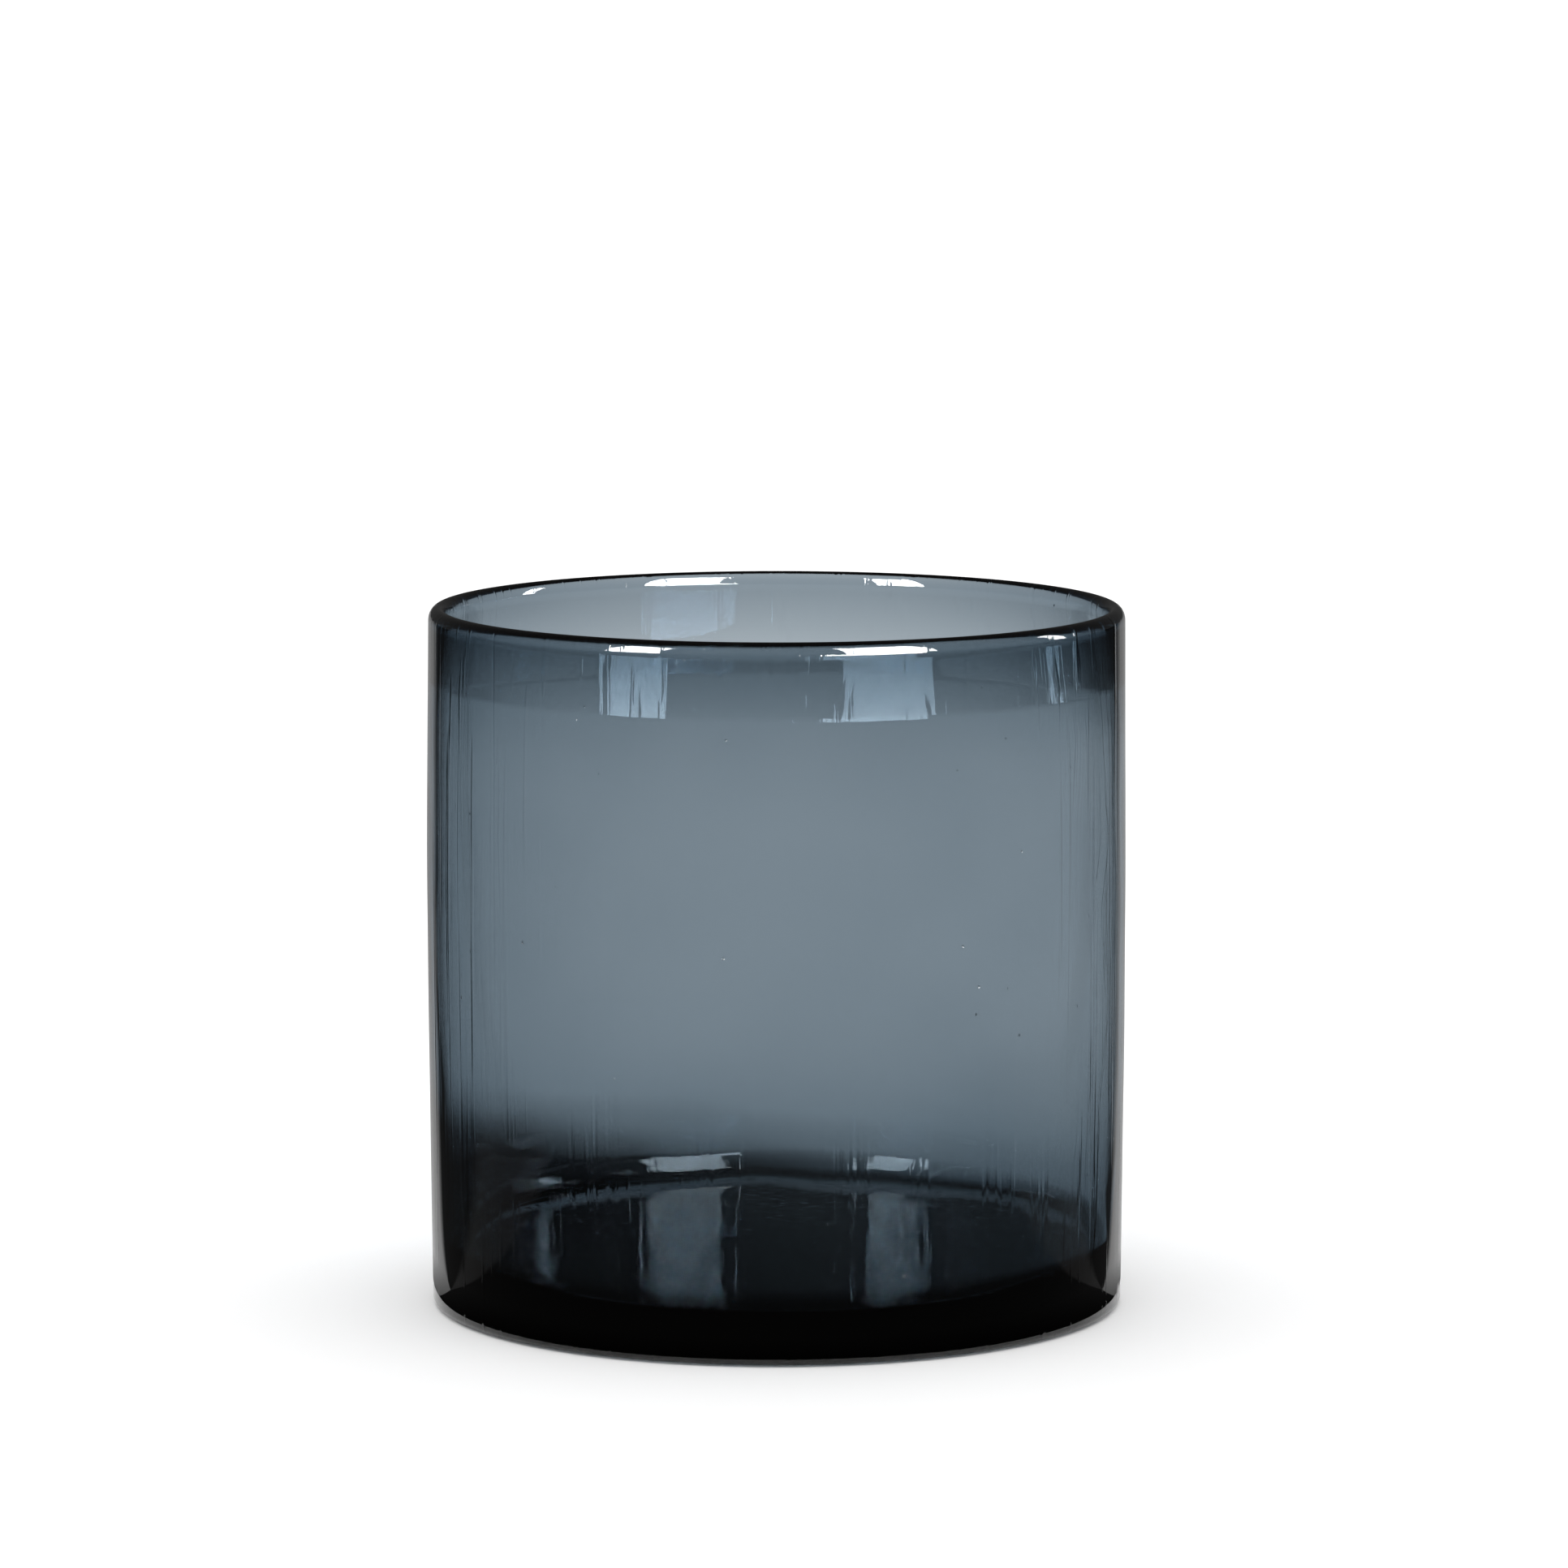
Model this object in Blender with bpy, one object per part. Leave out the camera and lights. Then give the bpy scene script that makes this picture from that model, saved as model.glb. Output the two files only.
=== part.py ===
"""Glass cylinder vase: one piece of through-coloured, mouth-blown glass.

A straight cylinder with a thin wall, a fire-polished rim that has drawn together
into a thick, rounded lip, and a heavy base with a softly rounded foot. The vase
stands on a flat ring around a shallow kick in its underside.

The shape is turned: an outline in the XZ plane, swept once round +Z. It stands on
the XY plane, with its axis on Z. Metres, +Z up.
"""

import math

import bpy

# Driving dimensions, in metres
HEIGHT = 0.2020
RIM_RADIUS = 0.1000        # outside, at the lip
FOOT_RADIUS = 0.0997       # outside, just above the foot's corner
BELLY = 0.0011             # swell of the blown wall half way up
WALL = 0.0031              # wall thickness at mid-height
WALL_AT_BASE = 0.0056      # wall thickness where it runs into the base
BASE_REACH = 0.075         # height over which the wall thickens to that
LIP_REACH = 0.040          # the wall starts to thicken this far under the rim
LIP_SLOPE = 0.034          # thickness gained per metre going up
LIP_NECK = 0.0205          # and faster from this far under the rim
LIP_NECK_SLOPE = 0.068
LIP_OUTER_UP = 0.0038      # round-over of the lip, outside: its height
LIP_OUTER_IN = 0.0029      # and its width
LIP_INNER_UP = 0.0040      # height of the round-over inside
FLOOR_THICKNESS = 0.0154   # base thickness at the foot of the inner wall
FLOOR_DOME = 0.0012        # how much higher the middle of the inner floor lies
FLOOR_CORNER = 0.0058      # radius between the inner floor and the wall
FOOT_CORNER = 0.0025       # outside radius at the foot
KICK_RADIUS = 0.0660       # shallow hollow in the underside
KICK_DEPTH = 0.0012

# How finely the shape is divided
SEGMENTS = 72              # steps round the axis
WALL_STEPS = 12            # steps up each side of the wall
FLOOR_STEPS = 4
KICK_STEPS = 5
CORNER_STEP_DEG = 18.0     # largest turn of a round corner in one step

GLASS_COLOUR = (0.130, 0.190, 0.235, 1.0)
GLASS_IOR = 1.5


def clear_scene():
    for old in list(bpy.data.objects):
        bpy.data.objects.remove(old, do_unlink=True)


def arc(center, across, up, start_deg, end_deg):
    """Points on a round or oval arc, both ends included. 0 degrees is outwards and 90 is up."""
    steps = max(1, math.ceil(abs(end_deg - start_deg) / CORNER_STEP_DEG))
    points = []
    for i in range(steps + 1):
        a = math.radians(start_deg + (end_deg - start_deg) * i / steps)
        points.append((center[0] + across * math.cos(a), center[1] + up * math.sin(a)))
    return points


def outer_radius(z):
    """The blown wall: a slight taper to the foot, and a slight swell between."""
    s = z / HEIGHT
    return FOOT_RADIUS + (RIM_RADIUS - FOOT_RADIUS) * s + BELLY * math.sin(math.pi * s)


def wall_thickness(z):
    """Even half way up, and thickening both into the base and towards the lip."""
    low = max(0.0, 1.0 - (z - inner_wall_start()) / BASE_REACH)
    under_rim = HEIGHT - z
    lip = LIP_SLOPE * max(0.0, LIP_REACH - under_rim)
    neck = LIP_NECK_SLOPE * max(0.0, LIP_NECK - under_rim)
    return WALL + (WALL_AT_BASE - WALL) * low * low + lip + neck


def inner_wall_start():
    return FLOOR_THICKNESS + FLOOR_CORNER


def inner_floor():
    """From the axis out to the rounded corner, over the low dome."""
    edge = outer_radius(inner_wall_start()) - WALL_AT_BASE - FLOOR_CORNER
    points = []
    for i in range(FLOOR_STEPS):
        s = i / FLOOR_STEPS
        lift = FLOOR_DOME * 0.5 * (1.0 + math.cos(math.pi * s))
        points.append((edge * s, FLOOR_THICKNESS + lift))
    return points + arc((edge, inner_wall_start()), FLOOR_CORNER, FLOOR_CORNER, -90, 0)


def inner_wall():
    """Between the floor's rounded corner and the lip's round-over."""
    low = inner_wall_start()
    high = HEIGHT - LIP_INNER_UP
    points = []
    for i in range(1, WALL_STEPS):
        z = low + (high - low) * i / WALL_STEPS
        points.append((outer_radius(z) - wall_thickness(z), z))
    return points


def rim():
    """The lip's round-over, from the inner wall over the top to the outer wall."""
    crest = RIM_RADIUS - LIP_OUTER_IN
    inner_z = HEIGHT - LIP_INNER_UP
    outer_z = HEIGHT - LIP_OUTER_UP
    inner_across = crest - (outer_radius(inner_z) - wall_thickness(inner_z))
    outer_across = outer_radius(outer_z) - crest
    inside = arc((crest, inner_z), inner_across, LIP_INNER_UP, 180, 90)
    outside = arc((crest, outer_z), outer_across, LIP_OUTER_UP, 90, 0)
    return inside + outside[1:]


def outer_wall():
    """Down the outside, from the lip's round-over to the foot's corner."""
    high = HEIGHT - LIP_OUTER_UP
    points = []
    for i in range(1, WALL_STEPS):
        z = high + (FOOT_CORNER - high) * i / WALL_STEPS
        points.append((outer_radius(z), z))
    return points


def underside():
    """Foot's corner, the flat standing ring, and the shallow kick up to the axis."""
    corner_center = (outer_radius(FOOT_CORNER) - FOOT_CORNER, FOOT_CORNER)
    points = arc(corner_center, FOOT_CORNER, FOOT_CORNER, 0, -90)
    for i in range(KICK_STEPS + 1):
        s = i / KICK_STEPS
        lift = KICK_DEPTH * 0.5 * (1.0 - math.cos(math.pi * s))
        points.append((KICK_RADIUS * (1.0 - s), lift))
    return points


def glass_material():
    material = bpy.data.materials.new("smoke_blue_glass")
    material.use_nodes = True
    shader = material.node_tree.nodes["Principled BSDF"]
    shader.inputs["Base Color"].default_value = GLASS_COLOUR
    shader.inputs["Metallic"].default_value = 0.0
    shader.inputs["Roughness"].default_value = 0.02
    shader.inputs["IOR"].default_value = GLASS_IOR
    shader.inputs["Transmission Weight"].default_value = 0.9
    return material


def turned(name, outline, material):
    """Sweeps an outline once round Z. It runs down its outer side, top to bottom."""
    mesh = bpy.data.meshes.new(name)
    edges = [(i, i + 1) for i in range(len(outline) - 1)]
    mesh.from_pydata([(r, 0.0, z) for r, z in outline], edges, [])
    mesh.materials.append(material)
    piece = bpy.data.objects.new(name, mesh)
    bpy.context.scene.collection.objects.link(piece)

    screw = piece.modifiers.new("turn", "SCREW")
    screw.steps = SEGMENTS
    screw.render_steps = SEGMENTS
    screw.use_merge_vertices = True
    screw.merge_threshold = 0.00001
    screw.use_smooth_shade = True
    return piece


def main():
    clear_scene()
    outline = inner_floor() + inner_wall() + rim() + outer_wall() + underside()
    turned("vase_body", outline, glass_material())


main()
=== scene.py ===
# Glass cylinder vase, smoke-blue blown glass, on a pale studio floor
import math

import bpy
from mathutils import Euler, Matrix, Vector


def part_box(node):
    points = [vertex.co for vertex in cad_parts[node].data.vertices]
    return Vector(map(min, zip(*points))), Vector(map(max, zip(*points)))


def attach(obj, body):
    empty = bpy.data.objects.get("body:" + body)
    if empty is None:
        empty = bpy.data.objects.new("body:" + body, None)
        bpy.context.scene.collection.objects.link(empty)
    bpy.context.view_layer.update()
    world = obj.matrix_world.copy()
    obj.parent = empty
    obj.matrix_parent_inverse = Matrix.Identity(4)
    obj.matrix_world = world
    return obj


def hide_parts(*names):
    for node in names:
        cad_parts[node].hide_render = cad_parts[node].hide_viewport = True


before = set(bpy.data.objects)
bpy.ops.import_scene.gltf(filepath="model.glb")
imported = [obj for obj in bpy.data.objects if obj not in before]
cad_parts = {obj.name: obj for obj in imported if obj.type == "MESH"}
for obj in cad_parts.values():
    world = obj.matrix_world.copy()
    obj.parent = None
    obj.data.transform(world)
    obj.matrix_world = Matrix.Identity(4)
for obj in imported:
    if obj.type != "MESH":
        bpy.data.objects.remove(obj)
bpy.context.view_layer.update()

scene = bpy.context.scene
low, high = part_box("vase_body")
print("frame loaded, vase is %.1f mm across and %.1f mm tall" % ((high.x - low.x) * 1000, high.z * 1000))

# the vase is one gather of glass, turned from a single outline; metres
vase = {
    "height": high.z - 0.000002,
    "rim": high.x - 0.00095,    # outside radius at the lip
    "belly": 0.00062,           # swell of the wall half way up
    "taper": 0.00035,           # foot is this much smaller than the rim, on the radius
    "wall": 0.0031,
    "wallAtBase": 0.0054,
    "baseReach": 0.075,         # height over which the wall thickens to the base
    "lipReach": 0.042,          # the wall starts to thicken this far under the rim
    "lipSlope": 0.032,
    "lipTurn": 0.012,           # the start is rounded over this much, both ways
    "neckReach": 0.0215,        # and it thickens faster from here
    "neckSlope": 0.064,
    "neckTurn": 0.0009,
    "lipOuterUp": 0.0038,       # round-over of the lip, outside
    "lipOuterIn": 0.0029,
    "lipInnerUp": 0.0040,       # and inside
    "floor": 0.0130,            # at the front, and "rise" more at the back
    "rise": 0.0038,
    "dome": 0.0012,
    "floorCorner": 0.0042,
    "heelReach": 0.0055,        # above the corner the wall leans in a little more
    "heelRadius": 0.0130,
    "footCorner": 0.0020,
    "kick": 0.0660,
    "kickDepth": 0.0012,
    "segments": 256,
    "floorSteps": 24,
    "heelSteps": 8,
    "wallSteps": 90,
    "kickSteps": 12,
    "neckSpan": 0.0024,         # finer steps this far to both sides of where the neck begins
    "neckStep": 0.0003,
}


def deselectAll():
    if bpy.context.object and bpy.context.object.mode == "EDIT":
        bpy.ops.mesh.select_all(action="DESELECT")
        return
    bpy.ops.object.select_all(action="DESELECT")


def arcPoints(centre, across, up, fromDeg, toDeg, stepDeg=5.0):
    steps = max(2, math.ceil(abs(toDeg - fromDeg) / stepDeg))
    points = []
    for i in range(steps + 1):
        a = math.radians(fromDeg + (toDeg - fromDeg) * i / steps)
        points.append((centre[0] + across * math.cos(a), centre[1] + up * math.sin(a)))
    return points


def outerRadius(z):
    s = z / vase["height"]
    return vase["rim"] - vase["taper"] * (1 - s) + vase["belly"] * math.sin(math.pi * s)


def softRamp(x, width):
    # zero below -width, x above it, with a round turn between
    if abs(x) < width:
        return (x + width) ** 2 / (4 * width)
    return max(0.0, x)


def heelLean():
    return math.atan(vase["heelReach"] / vase["heelRadius"])


def wallFoot():
    # where the inner wall starts, above the floor's corner
    return vase["floor"] + vase["floorCorner"] * (1 - math.sin(heelLean()))


def wallThickness(z):
    up = z - wallFoot()
    base = max(0.0, 1 - up / vase["baseReach"])
    heel = max(0.0, vase["heelReach"] - up) ** 2 / (2 * vase["heelRadius"])
    under = vase["height"] - z
    lip = vase["lipSlope"] * softRamp(vase["lipReach"] - under, vase["lipTurn"])
    neck = vase["neckSlope"] * softRamp(vase["neckReach"] - under, vase["neckTurn"])
    return vase["wall"] + (vase["wallAtBase"] - vase["wall"]) * base * base + heel + lip + neck


def innerHeights(footZ, lipZ):
    heelTop = footZ + vase["heelReach"]
    neckZ = vase["height"] - vase["neckReach"]
    heights = [footZ + vase["heelReach"] * i / vase["heelSteps"] for i in range(1, vase["heelSteps"])]
    heights += [heelTop + (lipZ - heelTop) * i / vase["wallSteps"] for i in range(vase["wallSteps"])]
    heights = [z for z in heights if abs(z - neckZ) > vase["neckSpan"]]
    sideSteps = round(vase["neckSpan"] / vase["neckStep"]) - 1
    heights += [neckZ + vase["neckStep"] * i for i in range(-sideSteps, sideSteps + 1)]
    return sorted(heights)


def vaseOutline():
    # up the inside from the axis, over the rim, down the outside, back to the axis underneath
    corner, footZ = vase["floorCorner"], wallFoot()
    cornerR = outerRadius(footZ) - wallThickness(footZ) - corner * math.cos(heelLean())
    points = []
    for i in range(vase["floorSteps"]):
        s = i / vase["floorSteps"]
        points.append((cornerR * s, vase["floor"] + vase["dome"] * 0.5 * (1 + math.cos(math.pi * s))))
    lean = -math.degrees(heelLean())
    points += arcPoints((cornerR, vase["floor"] + corner), corner, corner, -90, lean)
    lipZ = vase["height"] - vase["lipInnerUp"]
    for z in innerHeights(footZ, lipZ):
        points.append((outerRadius(z) - wallThickness(z), z))
    crestR = vase["rim"] - vase["lipOuterIn"]
    innerR = outerRadius(lipZ) - wallThickness(lipZ)
    points += arcPoints((crestR, lipZ), crestR - innerR, vase["lipInnerUp"], 180, 90)
    outerZ = vase["height"] - vase["lipOuterUp"]
    points += arcPoints((crestR, outerZ), outerRadius(outerZ) - crestR, vase["lipOuterUp"], 90, 0)[1:]
    foot = vase["footCorner"]
    for i in range(1, vase["wallSteps"]):
        z = outerZ + (foot - outerZ) * i / vase["wallSteps"]
        points.append((outerRadius(z), z))
    points += arcPoints((outerRadius(foot) - foot, foot), foot, foot, 0, -90)
    for i in range(vase["kickSteps"] + 1):
        s = i / vase["kickSteps"]
        points.append((vase["kick"] * (1 - s), vase["kickDepth"] * 0.5 * (1 - math.cos(math.pi * s))))
    return points


def turnVase():
    outline = vaseOutline()
    deselectAll()
    bpy.ops.mesh.primitive_plane_add(size=0.002, location=(outline[0][0], 0, outline[0][1]))
    piece = bpy.context.object
    piece.name = piece.data.name = "glassVase"
    bpy.ops.object.transform_apply(location=True)
    bpy.ops.object.mode_set(mode="EDIT")
    bpy.ops.mesh.merge(type="CENTER")
    last = outline[0]
    for point in outline[1:]:
        step = (point[0] - last[0], 0, point[1] - last[1])
        bpy.ops.mesh.extrude_region_move(TRANSFORM_OT_translate={"value": step})
        last = point
    bpy.ops.mesh.select_all(action="SELECT")
    bpy.ops.mesh.spin(steps=vase["segments"], angle=2 * math.pi, center=(0, 0, 0), axis=(0, 0, 1))
    bpy.ops.mesh.select_all(action="SELECT")
    bpy.ops.mesh.remove_doubles(threshold=0.000005)
    bpy.ops.mesh.normals_make_consistent(inside=False)
    bpy.ops.object.mode_set(mode="OBJECT")
    bpy.ops.object.shade_smooth()
    return piece


# what blowing by hand leaves: slow waves in both skins, a stronger one round the floor's edge,
# a thinner wall on the right, a floor higher at the back, a slight bulge on the left
handwork = {
    "skinWave": 0.00007,        # in the inner skin: how deep, how long
    "skinSize": 0.034,
    "rimKept": 0.004,           # nothing inside moves this close to the rim
    "skinFade": 0.012,
    "floorWave": 0.0006,
    "floorSize": 0.045,
    "floorWaveTop": 0.044,      # height where that wave has faded out
    "floorWaveIn": 0.35,        # it starts at this share of the radius
    "floorWaveFull": 0.75,
    "wallWave": 0.00007,        # in the outer skin
    "wallSize": 0.026,
    "wallKeptLow": 0.004,
    "wallKeptHigh": 0.006,
    "wallFade": 0.015,
    "thinner": 0.0009,
    "thinFade": 0.030,
    "riseTop": 0.054,           # the wall is drawn up with the floor, up to here
    "riseFull": 0.022,
    "bulge": 0.00035,
    "bulgeAt": (-0.100, 0.0, 0.128),
    "bulgeReach": 0.040,
    "bulgeDepth": 0.008,        # both skins move, so the wall stays as thick
}


def acrossOf(point):
    return math.hypot(point.x, point.y)


def isInside(point):
    if point.z < vase["floor"] - vase["dome"] / 2:
        return False
    return acrossOf(point) < outerRadius(point.z) - vase["wall"] / 2


def fade(value, zeroAt, fullAt):
    return min(1.0, max(0.0, (value - zeroAt) / (fullAt - zeroAt)))


def weightGroup(piece, name, weigh):
    group = piece.vertex_groups.new(name=name)
    for vertex in piece.data.vertices:
        weight = weigh(vertex.co)
        if weight > 0.001:
            group.add([vertex.index], weight, "REPLACE")
    return group.name


def insideWeight(point):
    if not isInside(point):
        return 0.0
    kept = handwork["rimKept"]
    return fade(vase["height"] - point.z, kept, kept + handwork["skinFade"])


def floorWeight(point):
    if not isInside(point):
        return 0.0
    low = fade(point.z, handwork["floorWaveTop"], vase["floor"])
    out = fade(acrossOf(point) / vase["rim"], handwork["floorWaveIn"], handwork["floorWaveFull"])
    return low * out


def outsideWeight(point):
    if isInside(point) or acrossOf(point) < vase["rim"] - vase["footCorner"]:
        return 0.0
    low, high = handwork["wallKeptLow"], handwork["wallKeptHigh"]
    aboveFoot = fade(point.z, low, low + handwork["wallFade"])
    return min(aboveFoot, fade(vase["height"] - point.z, high, high + handwork["wallFade"]))


def thinWeight(point):
    if not isInside(point):
        return 0.0
    kept = handwork["rimKept"]
    toRight = max(0.0, point.x / vase["rim"])
    return toRight * toRight * fade(vase["height"] - point.z, kept, kept + handwork["thinFade"])


def riseWeight(point):
    if not isInside(point):
        return 0.0
    low = fade(point.z, handwork["riseTop"], handwork["riseFull"])
    toBack = 0.5 + 0.5 * point.y / vase["rim"]
    return low * low * (3 - 2 * low) * toBack


def bulgeWeight(point):
    if acrossOf(point) < vase["rim"] - handwork["bulgeDepth"]:
        return 0.0
    away = (point - Vector(handwork["bulgeAt"])).length / handwork["bulgeReach"]
    return math.exp(-away * away)


def ripple(piece, name, weigh, size, strength):
    cloud = bpy.data.textures.new(name, "CLOUDS")
    cloud.noise_scale = size
    cloud.noise_depth = 0
    wave = piece.modifiers.new(name, "DISPLACE")
    wave.texture = cloud
    wave.texture_coords = "LOCAL"
    wave.direction = "NORMAL"
    wave.mid_level = 0.5
    wave.strength = strength * 2
    wave.vertex_group = weightGroup(piece, name, weigh)
    bpy.ops.object.modifier_apply(modifier=name)


def push(piece, name, weigh, direction, amount):
    shift = piece.modifiers.new(name, "DISPLACE")
    shift.direction = direction
    shift.mid_level = 0.0
    shift.strength = amount
    shift.vertex_group = weightGroup(piece, name, weigh)
    bpy.ops.object.modifier_apply(modifier=name)


def workByHand(piece):
    bpy.context.view_layer.objects.active = piece
    ripple(piece, "skinWave", insideWeight, handwork["skinSize"], handwork["skinWave"])
    ripple(piece, "floorWave", floorWeight, handwork["floorSize"], handwork["floorWave"])
    ripple(piece, "wallWave", outsideWeight, handwork["wallSize"], handwork["wallWave"])
    push(piece, "thinWall", thinWeight, "X", handwork["thinner"])
    push(piece, "riseFloor", riseWeight, "Z", vase["rise"])
    push(piece, "swellLeft", bulgeWeight, "X", -handwork["bulge"])
    piece.vertex_groups.clear()


glass = {
    "ior": 1.5,
    "density": 306.0,
    "tint": (0.153, 0.277, 0.360, 1.0),
    "roughness": 0.0,
    "bumpDepth": 0.001,
    "lineScale": 300.0,         # fine draw lines up the wall
    "lineStretch": 0.02,
    "lineFrom": 0.60,           # only the noise's peaks make a line
    "lineFull": 0.80,
    "lineBump": 0.12,
    "rippleScale": 38.0,
    "rippleBump": 0.06,
    "seedScale": 70.0,          # tiny bubbles, where a cell's centre is near the surface
    "seedSize": 0.035,
    "seedBump": 0.4,
}


def addBump(nodes, links, heightOut, strength, normalIn=None):
    bump = nodes.new("ShaderNodeBump")
    bump.inputs["Strength"].default_value = strength
    bump.inputs["Distance"].default_value = glass["bumpDepth"]
    links.new(heightOut, bump.inputs["Height"])
    if normalIn:
        links.new(normalIn, bump.inputs["Normal"])
    return bump.outputs["Normal"]


def glassMaterial():
    mat = bpy.data.materials.new("smokeBlueGlass")
    mat.use_nodes = True
    nodes, links = mat.node_tree.nodes, mat.node_tree.links
    shader = nodes["Principled BSDF"]
    shader.inputs["Base Color"].default_value = (1, 1, 1, 1)
    shader.inputs["Roughness"].default_value = glass["roughness"]
    shader.inputs["IOR"].default_value = glass["ior"]
    shader.inputs["Transmission Weight"].default_value = 1.0
    absorb = nodes.new("ShaderNodeVolumeAbsorption")
    absorb.inputs["Color"].default_value = glass["tint"]
    absorb.inputs["Density"].default_value = glass["density"]
    links.new(absorb.outputs["Volume"], nodes["Material Output"].inputs["Volume"])

    place = nodes.new("ShaderNodeTexCoord")
    # draw lines: noise that barely changes with height
    tall = nodes.new("ShaderNodeMapping")
    tall.inputs["Scale"].default_value = (1, 1, glass["lineStretch"])
    links.new(place.outputs["Object"], tall.inputs["Vector"])
    lines = nodes.new("ShaderNodeTexNoise")
    lines.inputs["Scale"].default_value = glass["lineScale"]
    lines.inputs["Detail"].default_value = 2.0
    links.new(tall.outputs["Vector"], lines.inputs["Vector"])
    rare = nodes.new("ShaderNodeMapRange")
    rare.inputs["From Min"].default_value = glass["lineFrom"]
    rare.inputs["From Max"].default_value = glass["lineFull"]
    links.new(lines.outputs["Fac"], rare.inputs["Value"])
    normal = addBump(nodes, links, rare.outputs["Result"], glass["lineBump"])
    # slow ripple of the blown skin
    slow = nodes.new("ShaderNodeTexNoise")
    slow.inputs["Scale"].default_value = glass["rippleScale"]
    slow.inputs["Detail"].default_value = 1.0
    links.new(place.outputs["Object"], slow.inputs["Vector"])
    normal = addBump(nodes, links, slow.outputs["Fac"], glass["rippleBump"], normal)
    # seeds
    cells = nodes.new("ShaderNodeTexVoronoi")
    cells.inputs["Scale"].default_value = glass["seedScale"]
    links.new(place.outputs["Object"], cells.inputs["Vector"])
    pit = nodes.new("ShaderNodeMapRange")
    pit.inputs["From Min"].default_value = 0.0
    pit.inputs["From Max"].default_value = glass["seedSize"]
    pit.interpolation_type = "SMOOTHSTEP"
    links.new(cells.outputs["Distance"], pit.inputs["Value"])
    normal = addBump(nodes, links, pit.outputs["Result"], glass["seedBump"], normal)
    links.new(normal, shader.inputs["Normal"])
    return mat


deselectAll()
body = turnVase()
workByHand(body)
body.data.materials.clear()
body.data.materials.append(glassMaterial())
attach(body, "root")
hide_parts("vase_body")
print("vase turned, %d faces" % len(body.data.polygons))

# floor, and glowing cards on it that only the glass sees; their glow holds painted light and shade
stage = {
    "floorSize": 60.0,
    "floorZ": -0.0004,          # the vase stands just clear of the floor and of both cards
    "throughZ": -0.0002,
    "glossZ": -0.0003,
    "floorColour": (0.93, 0.93, 0.93, 1.0),
    "floorRoughness": 0.9,
    "skyLight": 1.30,           # lights the floor
    "cardSize": 60.0,
    "shadeAt": (-0.145, 0.02),  # painted shadow of the vase on the card seen through the glass, centred to the left behind it
    "throughShadeRings": [(0.175, 0.03), (0.207, 0.35), (0.243, 0.75), (0.295, 1.0)],
    "underFrom": 0.096,         # painted shade: both cards go dark under and round the vase's foot
    "underTo": 0.135,
    "fadeFrom": 2.2,            # painted falloff of light: both cards' glow dims from here to fadeTo
    "fadeTo": 8.0,
    "fadeLeft": 0.75,
    "throughSides": [(22.0, 1.0), (27.0, 0.06), (36.0, 0.06), (40.0, 1.0)],
    # painted light seen in reflections: brightest near the foot, dimmer further out
    "glossLightRings": [(0.11, 0.62), (0.21, 0.56), (0.50, 0.43), (0.80, 0.34)],
    "glossSides": [(22.0, 1.0), (29.0, 0.05), (64.0, 0.05), (76.0, 0.16), (114.0, 0.16), (120.0, 0.05)],
    "horizon": [(0.0, 0.85), (0.045, 0.60), (0.09, 0.06), (0.30, 0.03)],
    "glossFlank": 0.122,
    "glossHole": 0.107,         # the real floor shows around the foot
    "glossSky": 0.06,
}
# azimuth from and to, in degrees, negative to the left of the camera; distance; lowest and
# highest point; radiance
softboxes = {
    "leftBox": (-55.8, -37.0, 1.5, 0.28, 1.45, 34.0),
    "rightBoxLow": (14.8, 46.0, 0.9, 0.19, 0.28, 34.0),
    "rightBoxHigh": (21.5, 51.0, 0.9, 0.28, 1.15, 28.0),
    "sideBox": (99.5, 106.0, 1.2, 0.30, 0.80, 20.0),
}


def plainMaterial(name, colour, roughness):
    mat = bpy.data.materials.new(name)
    mat.use_nodes = True
    shader = mat.node_tree.nodes["Principled BSDF"]
    shader.inputs["Base Color"].default_value = colour
    shader.inputs["Roughness"].default_value = roughness
    shader.inputs["Specular IOR Level"].default_value = 0.0
    return mat


def makeFloor():
    bpy.ops.mesh.primitive_plane_add(size=stage["floorSize"], location=(0, 0, stage["floorZ"]))
    floor = bpy.context.object
    floor.name = "studioFloor"
    paleFloor = plainMaterial("paleFloor", stage["floorColour"], stage["floorRoughness"])
    floor.data.materials.append(paleFloor)
    return floor


def addRamp(nodes, stops, full):
    # stops in the ramp's own units, where full is its right end
    ramp = nodes.new("ShaderNodeValToRGB")
    band = ramp.color_ramp
    while len(band.elements) < len(stops):
        band.elements.new(0.5)
    for element, (at, value) in zip(band.elements, stops):
        element.position = at / full
        element.color = (value, value, value, 1)
    return ramp


def mathNode(nodes, links, kind, first, second=None):
    node = nodes.new("ShaderNodeMath")
    node.operation = kind
    for socket, value in zip(node.inputs, (first, second)):
        if value is None:
            continue
        if isinstance(value, (int, float)):
            socket.default_value = value
        else:
            links.new(value, socket)
    return node.outputs[0]


def distanceFrom(nodes, links, x, y, centre):
    dx = mathNode(nodes, links, "SUBTRACT", x, centre[0])
    dy = mathNode(nodes, links, "SUBTRACT", y, centre[1])
    dx2 = mathNode(nodes, links, "MULTIPLY", dx, dx)
    dy2 = mathNode(nodes, links, "MULTIPLY", dy, dy)
    return mathNode(nodes, links, "SQRT", mathNode(nodes, links, "ADD", dx2, dy2))


def between(nodes, links, value, start, end, first, last):
    # first up to start, last from end on, and a straight change between
    node = nodes.new("ShaderNodeMapRange")
    for name, number in (("From Min", start), ("From Max", end), ("To Min", first), ("To Max", last)):
        node.inputs[name].default_value = number
    links.new(value, node.inputs["Value"])
    return node.outputs["Result"]


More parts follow.
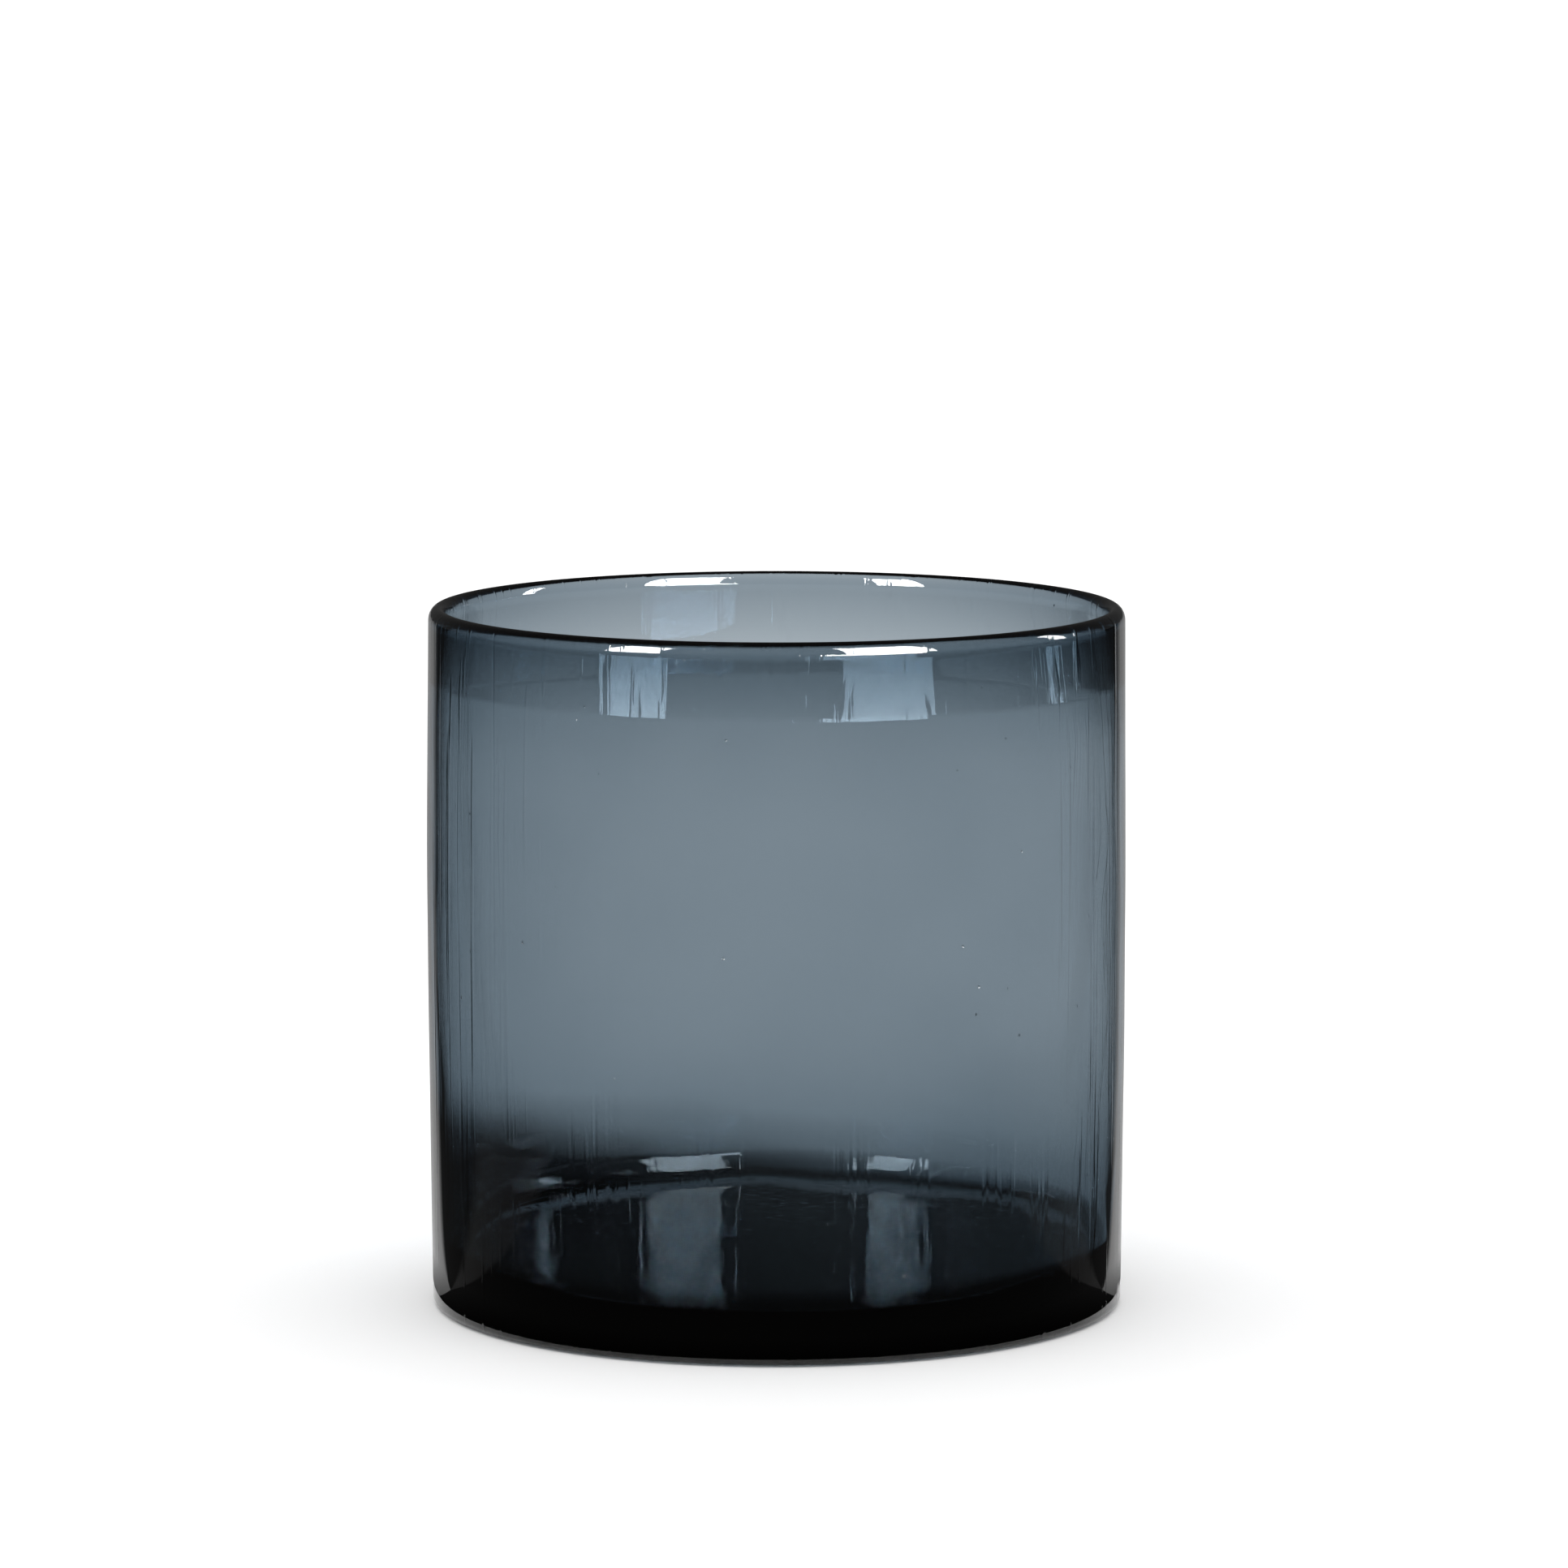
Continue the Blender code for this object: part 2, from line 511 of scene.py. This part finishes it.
def sideAngle(nodes, links, x, y, flank):
    # degrees away from straight behind the vase's flank, 0 to 180, as a share of 180
    across = mathNode(nodes, links, "ABSOLUTE", x)
    beyond = mathNode(nodes, links, "MAXIMUM", mathNode(nodes, links, "SUBTRACT", across, flank), 0.0)
    angle = mathNode(nodes, links, "ARCTAN2", beyond, y)
    return mathNode(nodes, links, "DIVIDE", angle, math.pi)


def makeCard(name, height, centre, rings, sides, flank, seenBy, hole=0.0):
    # a glowing sheet on the floor that only one kind of ray sees, so the glass has its own surroundings,
    # with their light and shade painted into the glow
    bpy.ops.mesh.primitive_plane_add(size=stage["cardSize"], location=(0, 0, height))
    card = bpy.context.object
    card.name = name
    mat = bpy.data.materials.new(name)
    mat.use_nodes = True
    nodes, links = mat.node_tree.nodes, mat.node_tree.links
    nodes.clear()
    place = nodes.new("ShaderNodeTexCoord")
    split = nodes.new("ShaderNodeSeparateXYZ")
    links.new(place.outputs["Object"], split.inputs[0])
    x, y = split.outputs["X"], split.outputs["Y"]
    reach = distanceFrom(nodes, links, x, y, centre)
    fromAxis = distanceFrom(nodes, links, x, y, (0, 0))
    # ring ramp: a painted shadow of the vase on the through card, a painted pool of light round the foot
    # on the gloss card
    ringRamp = addRamp(nodes, rings, 1.0)
    links.new(reach, ringRamp.inputs["Fac"])
    sideRamp = addRamp(nodes, sides, 180.0)
    links.new(sideAngle(nodes, links, x, y, flank), sideRamp.inputs["Fac"])
    # painted dimming of the far floor's light
    far = between(nodes, links, reach, stage["fadeFrom"], stage["fadeTo"], 1.0, stage["fadeLeft"])
    # painted shade under the vase's foot
    under = between(nodes, links, fromAxis, stage["underFrom"], stage["underTo"], 0.0, 1.0)
    shade = mathNode(nodes, links, "MULTIPLY", far, under)
    strength = mathNode(nodes, links, "MULTIPLY", sideRamp.outputs["Color"], shade)
    glow = nodes.new("ShaderNodeEmission")
    links.new(ringRamp.outputs["Color"], glow.inputs["Color"])
    links.new(strength, glow.inputs["Strength"])
    surface = glow.outputs["Emission"]
    if hole:
        clear = nodes.new("ShaderNodeBsdfTransparent")
        mix = nodes.new("ShaderNodeMixShader")
        links.new(mathNode(nodes, links, "LESS_THAN", fromAxis, hole), mix.inputs["Fac"])
        links.new(surface, mix.inputs[1])
        links.new(clear.outputs["BSDF"], mix.inputs[2])
        surface = mix.outputs["Shader"]
    out = nodes.new("ShaderNodeOutputMaterial")
    links.new(surface, out.inputs["Surface"])
    card.data.materials.append(mat)
    mat.cycles.emission_sampling = "NONE"
    card.visible_camera = False
    card.visible_diffuse = False
    card.visible_shadow = False
    card.visible_volume_scatter = False
    card.visible_transmission = seenBy == "transmission"
    card.visible_glossy = seenBy == "glossy"
    return card


def makeSoftbox(name, azFrom, azTo, distance, bottom, top, radiance):
    ends = []
    for az in (azFrom, azTo):
        a = math.radians(az)
        ends.append(Vector((math.sin(a) * distance, -math.cos(a) * distance, (bottom + top) / 2)))
    across = (ends[1] - ends[0]).length
    lamp = bpy.data.lights.new(name, "AREA")
    lamp.shape = "RECTANGLE"
    lamp.size = across
    lamp.size_y = top - bottom
    lamp.energy = radiance * math.pi * across * (top - bottom)
    box = bpy.data.objects.new(name, lamp)
    scene.collection.objects.link(box)
    box.location = (ends[0] + ends[1]) / 2
    out = Vector((box.location.x, box.location.y, 0))
    box.rotation_euler = out.to_track_quat("Z", "Y").to_euler()
    box.visible_camera = False
    box.visible_diffuse = False
    return box


def makeWorld():
    # white for the floor and the camera; through the glass a bright horizon shows under a dim room
    world = bpy.data.worlds.new("studio")
    scene.world = world
    world.use_nodes = True
    nodes, links = world.node_tree.nodes, world.node_tree.links
    place = nodes.new("ShaderNodeTexCoord")
    split = nodes.new("ShaderNodeSeparateXYZ")
    links.new(place.outputs["Generated"], split.inputs[0])
    rise = addRamp(nodes, stage["horizon"], 1.0)
    links.new(split.outputs["Z"], rise.inputs["Fac"])
    sideRamp = addRamp(nodes, stage["throughSides"], 180.0)
    side = sideAngle(nodes, links, split.outputs["X"], split.outputs["Y"], 0.0)
    links.new(side, sideRamp.inputs["Fac"])
    seen = mathNode(nodes, links, "MULTIPLY", rise.outputs["Color"], sideRamp.outputs["Color"])
    path = nodes.new("ShaderNodeLightPath")
    direct, diffuse = path.outputs["Is Camera Ray"], path.outputs["Is Diffuse Ray"]
    plain = mathNode(nodes, links, "MAXIMUM", direct, diffuse)
    parts = [mathNode(nodes, links, "MULTIPLY", plain, stage["skyLight"]),
             mathNode(nodes, links, "MULTIPLY", path.outputs["Is Transmission Ray"], seen),
             mathNode(nodes, links, "MULTIPLY", path.outputs["Is Glossy Ray"], stage["glossSky"])]
    total = mathNode(nodes, links, "ADD", mathNode(nodes, links, "ADD", parts[0], parts[1]), parts[2])
    links.new(total, nodes["Background"].inputs["Strength"])
    nodes["Background"].inputs["Color"].default_value = (1, 1, 1, 1)


makeFloor()
makeCard("seenThroughGlass", stage["throughZ"], stage["shadeAt"], stage["throughShadeRings"],
         stage["throughSides"], vase["rim"], "transmission")
makeCard("seenInGlass", stage["glossZ"], (0, 0), stage["glossLightRings"], stage["glossSides"],
         stage["glossFlank"], "glossy", stage["glossHole"])
for boxName, boxValues in softboxes.items():
    makeSoftbox(boxName, *boxValues)
makeWorld()

view = {
    "distance": 2.18446,
    "height": 0.43345,
    "pitch": 7.388,
    "yaw": 0.0546,
    "lens": 175.62,
    "sensor": 36.0,
    "bounces": 24,              # light crosses the glass many times
    "glossyBounces": 16,
}


def makeCamera():
    data = bpy.data.cameras.new("camera")
    data.sensor_width = view["sensor"]
    data.lens = view["lens"]
    cam = bpy.data.objects.new("camera", data)
    scene.collection.objects.link(cam)
    cam.location = (0, -view["distance"], view["height"])
    cam.rotation_euler = Euler((math.radians(90 - view["pitch"]), 0, math.radians(-view["yaw"])))
    scene.camera = cam


makeCamera()
scene.view_settings.view_transform = "Standard"
scene.view_settings.look = "None"
scene.cycles.max_bounces = view["bounces"]
scene.cycles.transmission_bounces = view["bounces"]
scene.cycles.glossy_bounces = view["glossyBounces"]
scene.cycles.caustics_reflective = True
scene.cycles.caustics_refractive = True
print("stage, lights and camera ready")
